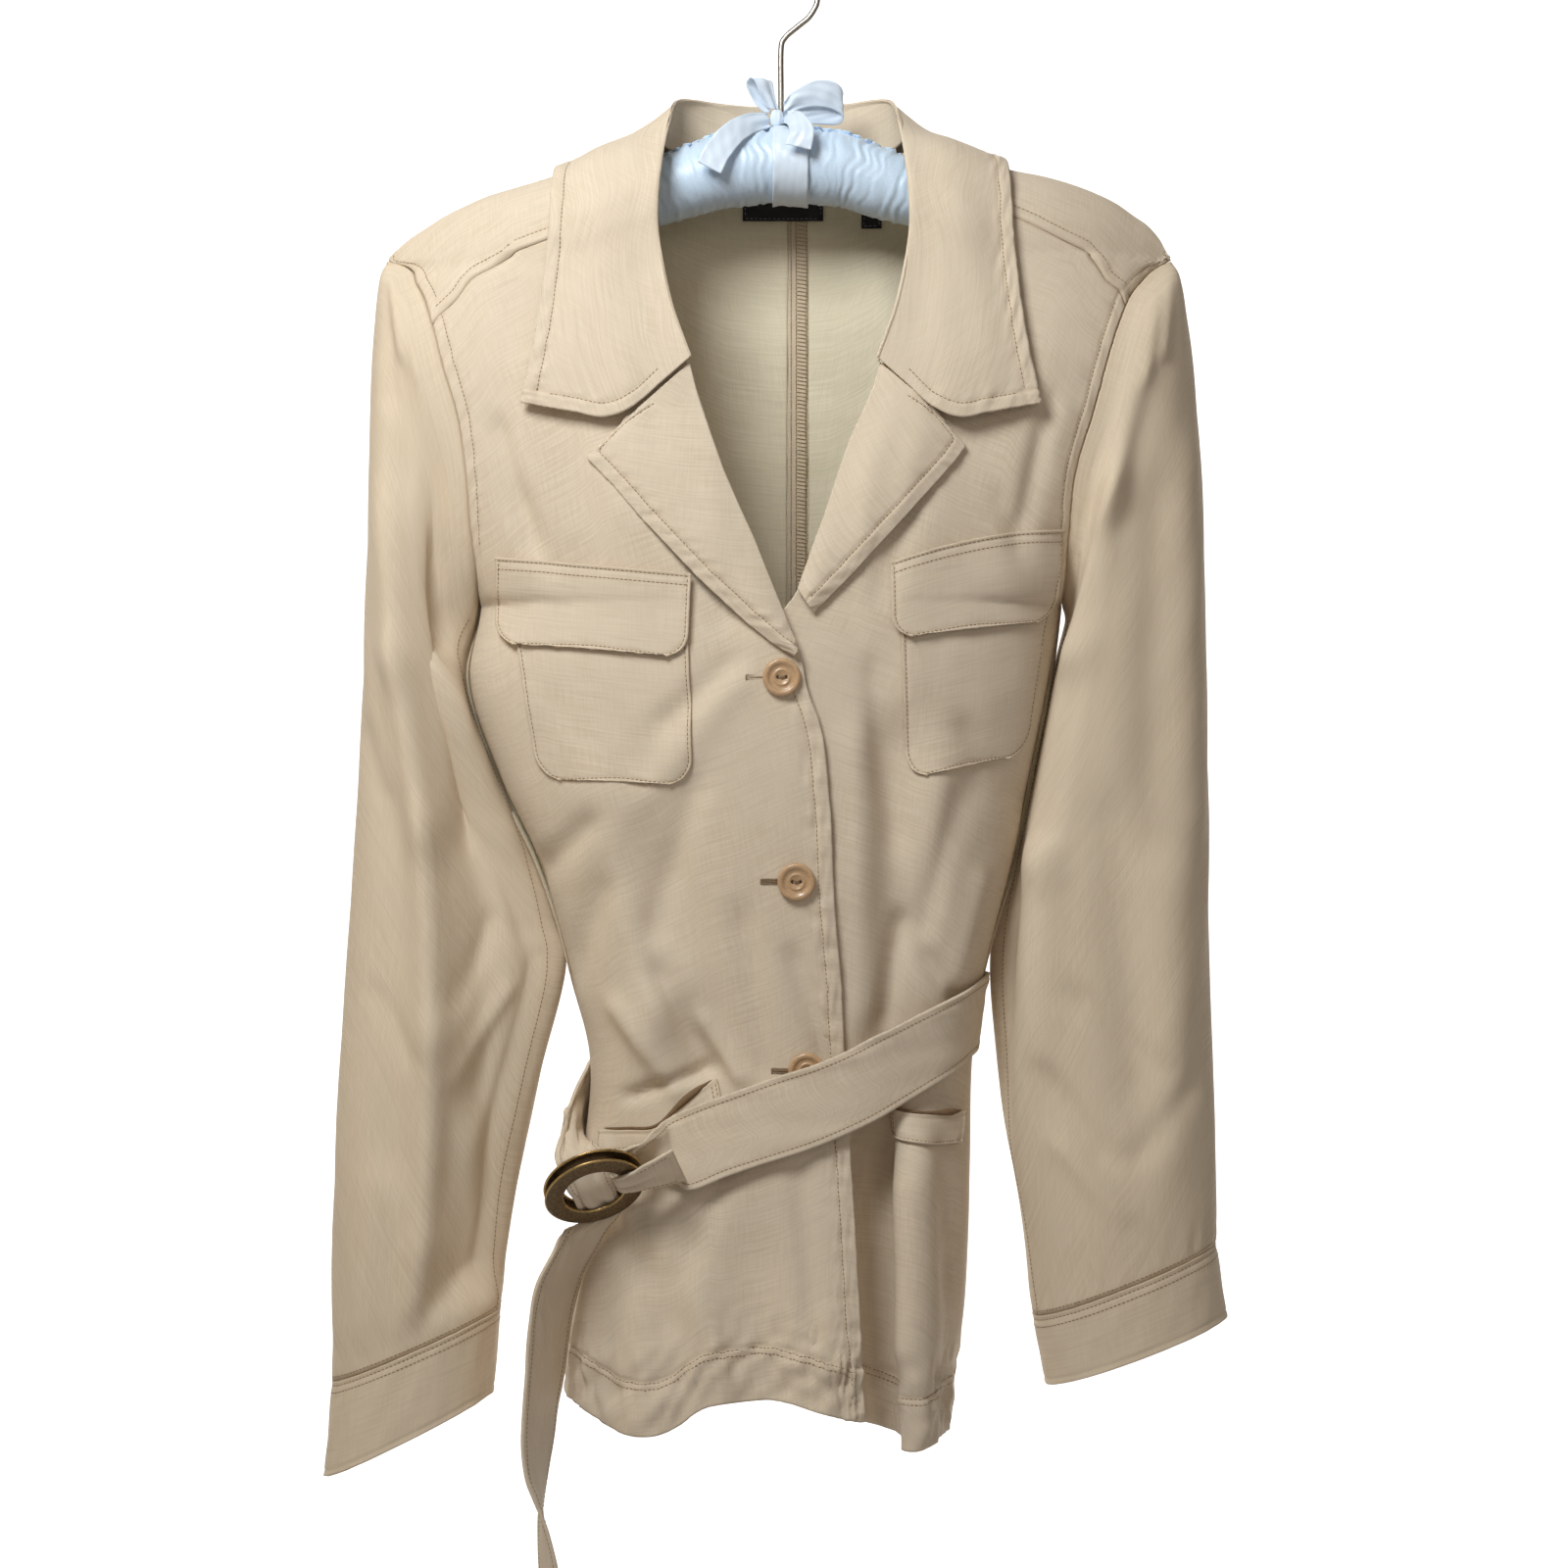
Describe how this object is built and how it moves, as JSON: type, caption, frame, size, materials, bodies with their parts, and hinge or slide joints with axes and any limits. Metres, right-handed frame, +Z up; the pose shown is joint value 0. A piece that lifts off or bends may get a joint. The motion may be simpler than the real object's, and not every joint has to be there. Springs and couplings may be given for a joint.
{
  "type": "safari jacket on a padded hanger",
  "caption": "Belted linen safari jacket with notched collar, flap pockets and double-ring belt, hung on a padded satin hanger.",
  "frame": {"origin": "underside of the hook's crown, where a rail carries the hanger", "axes": "+Z up the hook's stem from the jacket to the rail; +Y from the jacket's front to its back; +X to the right of someone facing the front"},
  "size_m": [0.4843, 0.1511, 0.9034],
  "materials": {
    "linen": "matte",
    "satin": "satin",
    "black_tape": "matte",
    "button": "satin",
    "bronze": "satin",
    "wire": "satin"
  },
  "bodies": {
    "root": {"back_left": "linen", "back_right": "linen", "front_left": "linen", "front_right": "linen", "collar": "linen", "lapel_left": "linen", "lapel_right": "linen", "sleeve_left": "linen", "sleeve_right": "linen", "cuff_left": "linen", "cuff_right": "linen", "chest_pocket_left": "linen", "chest_pocket_right": "linen", "chest_flap_left": "linen", "chest_flap_right": "linen", "hip_welt_left": "linen", "hip_welt_right": "linen", "belt": "linen", "hanger_pad": "satin", "ribbon_band": "satin", "ribbon_knot": "satin", "ribbon_loop_left": "satin", "ribbon_loop_right": "satin", "ribbon_tail_left": "satin", "ribbon_tail_right": "satin", "neck_label": "black_tape", "size_tab": "black_tape", "button_1": "button", "button_2": "button", "button_3": "button", "ring_front": "bronze", "ring_rear": "bronze", "hanger_hook": "wire"}
  },
  "joints": []
}
